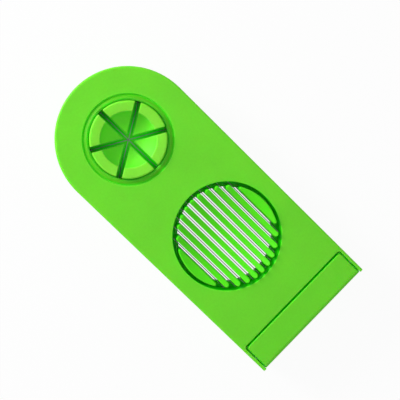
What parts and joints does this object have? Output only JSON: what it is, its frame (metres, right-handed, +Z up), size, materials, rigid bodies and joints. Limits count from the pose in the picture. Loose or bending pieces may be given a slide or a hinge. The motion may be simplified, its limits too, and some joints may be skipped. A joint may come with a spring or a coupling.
{
  "type": "egg slicer",
  "caption": "Hinged plastic egg slicer: a lid with tight steel wires closes over a slotted dish for slices and a slotted cup for wedges.",
  "frame": {"origin": "middle of the object's footprint, on the surface that the tray stands on", "axes": "+X along the object from the round end to the hinge, +Y across it, +Z up"},
  "size_m": [0.199, 0.086, 0.0305],
  "materials": {
    "green_shell": "satin moulded polypropylene, bright green",
    "green_insert": "satin moulded polypropylene, bright green",
    "wire_steel": "drawn stainless wire",
    "ferrule_steel": "crimped stainless sleeve",
    "pin_steel": "ground stainless pin"
  },
  "bodies": {
    "base": {"base_tray": "green_shell", "slicing_cradle": "green_insert", "wedging_cup": "green_insert"},
    "lid": {"lid_frame": "green_shell", "slicing_wire_ring": "green_insert", "wedging_wire_ring": "green_insert", "slicing_wire_01": "wire_steel", "slicing_wire_02": "wire_steel", "slicing_wire_03": "wire_steel", "slicing_wire_04": "wire_steel", "slicing_wire_05": "wire_steel", "slicing_wire_06": "wire_steel", "slicing_wire_07": "wire_steel", "slicing_wire_08": "wire_steel", "slicing_wire_09": "wire_steel", "slicing_wire_10": "wire_steel", "wedging_wire_1": "wire_steel", "wedging_wire_2": "wire_steel", "wedging_wire_3": "wire_steel", "slicing_wire_ferrules": "ferrule_steel", "wedging_wire_ferrules": "ferrule_steel", "hinge_pin": "pin_steel"}
  },
  "joints": [
    {"name": "lid_hinge", "type": "hinge", "parent": "base", "child": "lid", "pos_m": [0.091, 0, 0.024], "axis": [0, 1, 0], "range_deg": [0, 100]}
  ]
}
